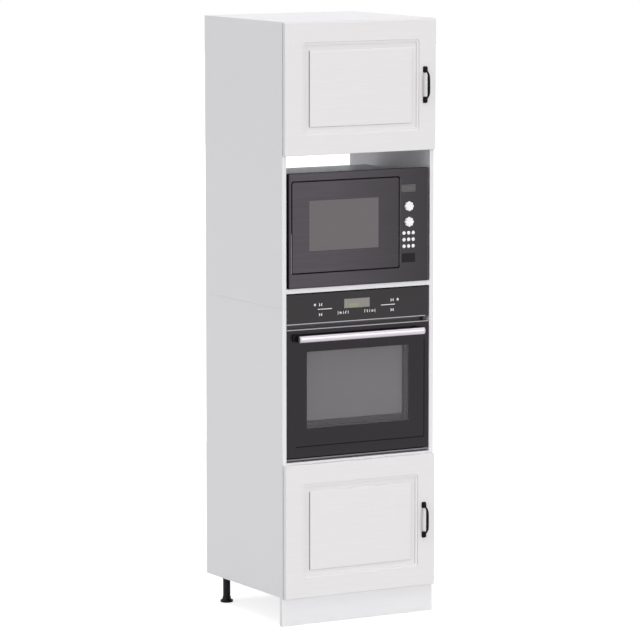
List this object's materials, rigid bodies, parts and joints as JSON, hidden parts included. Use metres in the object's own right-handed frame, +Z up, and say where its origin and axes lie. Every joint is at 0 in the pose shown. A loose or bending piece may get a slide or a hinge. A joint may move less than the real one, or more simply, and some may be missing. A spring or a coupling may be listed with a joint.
{
  "type": "tall oven housing unit",
  "caption": "Tall kitchen housing with raised-panel cupboard doors above and below, a built-in microwave in an open-backed middle niche and a built-in drop-door oven under it.",
  "frame": {"origin": "middle of the bounding box at the floor, under the feet", "axes": "+X to the right seen from the front, +Y to the back, +Z up"},
  "size_m": [0.6, 0.6044, 2.07],
  "materials": {
    "white_board": "white melamine facing on chipboard, satin",
    "white_foil": "white foil on routed fibreboard, satin",
    "hardboard": "white-faced hardboard, matt",
    "black_plastic": "black moulded plastic, satin",
    "black_iron": "black, satin",
    "nickel": "nickel plated",
    "dark_glass": "near-black printed glass, gloss",
    "smoked_glass": "grey screened glass, gloss",
    "grey_frame": "dark grey, satin",
    "white_plastic": "white, satin",
    "dark_plastic": "dark grey, satin",
    "display_glass": "grey-green display window, gloss",
    "zinc_sheet": "zinc-coated steel sheet",
    "grey_enamel": "dark grey enamel, semi-gloss",
    "clear_glass": "clear glass",
    "satin_steel": "satin steel"
  },
  "bodies": {
    "housing": {"side_left_lower": "white_board", "side_left_upper": "white_board", "side_right_lower": "white_board", "side_right_upper": "white_board", "bottom_panel": "white_board", "oven_shelf": "white_board", "middle_shelf": "white_board", "upper_cupboard_floor": "white_board", "top_panel": "white_board", "back_panel_lower": "hardboard", "back_panel_upper": "hardboard", "plinth": "white_board", "foot_front_left": "black_plastic", "foot_front_right": "black_plastic", "foot_rear_left": "black_plastic", "foot_rear_right": "black_plastic", "upper_door_hinge_arm_bottom": "nickel", "upper_door_hinge_arm_top": "nickel", "lower_door_hinge_arm_bottom": "nickel", "lower_door_hinge_arm_top": "nickel", "microwave_frame": "grey_frame", "microwave_case": "zinc_sheet", "microwave_cavity": "zinc_sheet", "microwave_display": "display_glass", "oven_casing": "zinc_sheet", "oven_cavity": "grey_enamel", "oven_rack": "nickel", "oven_control_panel": "dark_glass", "oven_display": "display_glass", "oven_bottom_trim": "satin_steel"},
    "upper_door": {"upper_door": "white_foil", "upper_door_pull": "black_iron", "upper_door_hinge_cup_bottom": "nickel", "upper_door_hinge_cup_top": "nickel"},
    "lower_door": {"lower_door": "white_foil", "lower_door_pull": "black_iron", "lower_door_hinge_cup_bottom": "nickel", "lower_door_hinge_cup_top": "nickel"},
    "microwave_door": {"microwave_door": "grey_frame", "microwave_door_window": "smoked_glass"},
    "oven_door": {"oven_door_glass": "dark_glass", "oven_door_frame": "grey_enamel", "oven_door_inner_glass": "clear_glass", "oven_handle_bar": "satin_steel", "oven_handle_post_left": "black_plastic", "oven_handle_post_right": "black_plastic"},
    "knob_upper": {"microwave_knob_upper": "white_plastic"},
    "knob_lower": {"microwave_knob_lower": "white_plastic"},
    "key_1": {"microwave_key_1": "white_plastic"},
    "key_2": {"microwave_key_2": "white_plastic"},
    "key_3": {"microwave_key_3": "white_plastic"},
    "key_4": {"microwave_key_4": "white_plastic"},
    "key_5": {"microwave_key_5": "white_plastic"},
    "key_6": {"microwave_key_6": "white_plastic"},
    "key_7": {"microwave_key_7": "white_plastic"},
    "key_8": {"microwave_key_8": "white_plastic"},
    "key_9": {"microwave_key_9": "white_plastic"},
    "open_key": {"microwave_open_key": "dark_plastic"},
    "turntable": {"microwave_turntable": "clear_glass"},
    "roller_ring": {"microwave_roller_ring": "white_plastic"}
  },
  "joints": [
    {"name": "upper_door_hinge", "type": "hinge", "parent": "housing", "child": "upper_door", "pos_m": [-0.296, -0.2637, 1.843], "axis": [0, 0, -1], "range_deg": [0, 105]},
    {"name": "lower_door_hinge", "type": "hinge", "parent": "housing", "child": "lower_door", "pos_m": [-0.296, -0.2637, 0.32875], "axis": [0, 0, -1], "range_deg": [0, 105]},
    {"name": "microwave_door_hinge", "type": "hinge", "parent": "housing", "child": "microwave_door", "pos_m": [-0.2605, -0.2547, 1.3725], "axis": [0, 0, -1], "range_deg": [0, 100]},
    {"name": "oven_door_hinge", "type": "hinge", "parent": "housing", "child": "oven_door", "pos_m": [0, -0.2367, 0.598], "axis": [1, 0, 0], "range_deg": [0, 90]},
    {"name": "knob_upper_turn", "type": "hinge", "parent": "housing", "child": "knob_upper", "pos_m": [0.194, -0.2577, 1.426], "axis": [0, 1, 0], "range_deg": [0, 300]},
    {"name": "knob_lower_turn", "type": "hinge", "parent": "housing", "child": "knob_lower", "pos_m": [0.194, -0.2577, 1.372], "axis": [0, 1, 0], "range_deg": [0, 300]},
    {"name": "key_1_press", "type": "slide", "parent": "housing", "child": "key_1", "axis": [0, 1, 0], "range_m": [0, 0.0015], "stiffness_N_per_m": 700},
    {"name": "key_2_press", "type": "slide", "parent": "housing", "child": "key_2", "axis": [0, 1, 0], "range_m": [0, 0.0015], "stiffness_N_per_m": 700},
    {"name": "key_3_press", "type": "slide", "parent": "housing", "child": "key_3", "axis": [0, 1, 0], "range_m": [0, 0.0015], "stiffness_N_per_m": 700},
    {"name": "key_4_press", "type": "slide", "parent": "housing", "child": "key_4", "axis": [0, 1, 0], "range_m": [0, 0.0015], "stiffness_N_per_m": 700},
    {"name": "key_5_press", "type": "slide", "parent": "housing", "child": "key_5", "axis": [0, 1, 0], "range_m": [0, 0.0015], "stiffness_N_per_m": 700},
    {"name": "key_6_press", "type": "slide", "parent": "housing", "child": "key_6", "axis": [0, 1, 0], "range_m": [0, 0.0015], "stiffness_N_per_m": 700},
    {"name": "key_7_press", "type": "slide", "parent": "housing", "child": "key_7", "axis": [0, 1, 0], "range_m": [0, 0.0015], "stiffness_N_per_m": 700},
    {"name": "key_8_press", "type": "slide", "parent": "housing", "child": "key_8", "axis": [0, 1, 0], "range_m": [0, 0.0015], "stiffness_N_per_m": 700},
    {"name": "key_9_press", "type": "slide", "parent": "housing", "child": "key_9", "axis": [0, 1, 0], "range_m": [0, 0.0015], "stiffness_N_per_m": 700},
    {"name": "open_key_press", "type": "slide", "parent": "housing", "child": "open_key", "axis": [0, 1, 0], "range_m": [0, 0.003], "stiffness_N_per_m": 600},
    {"name": "turntable_turn", "type": "hinge", "parent": "housing", "child": "turntable", "pos_m": [-0.05475, -0.0767, 1.25], "axis": [0, 0, 1], "continuous": true},
    {"name": "roller_ring_turn", "type": "hinge", "parent": "housing", "child": "roller_ring", "pos_m": [-0.05475, -0.0767, 1.245], "axis": [0, 0, 1], "continuous": true}
  ],
  "couplings": [
    {"joint": "roller_ring_turn", "follows": "turntable_turn", "ratio": 0.5}
  ]
}
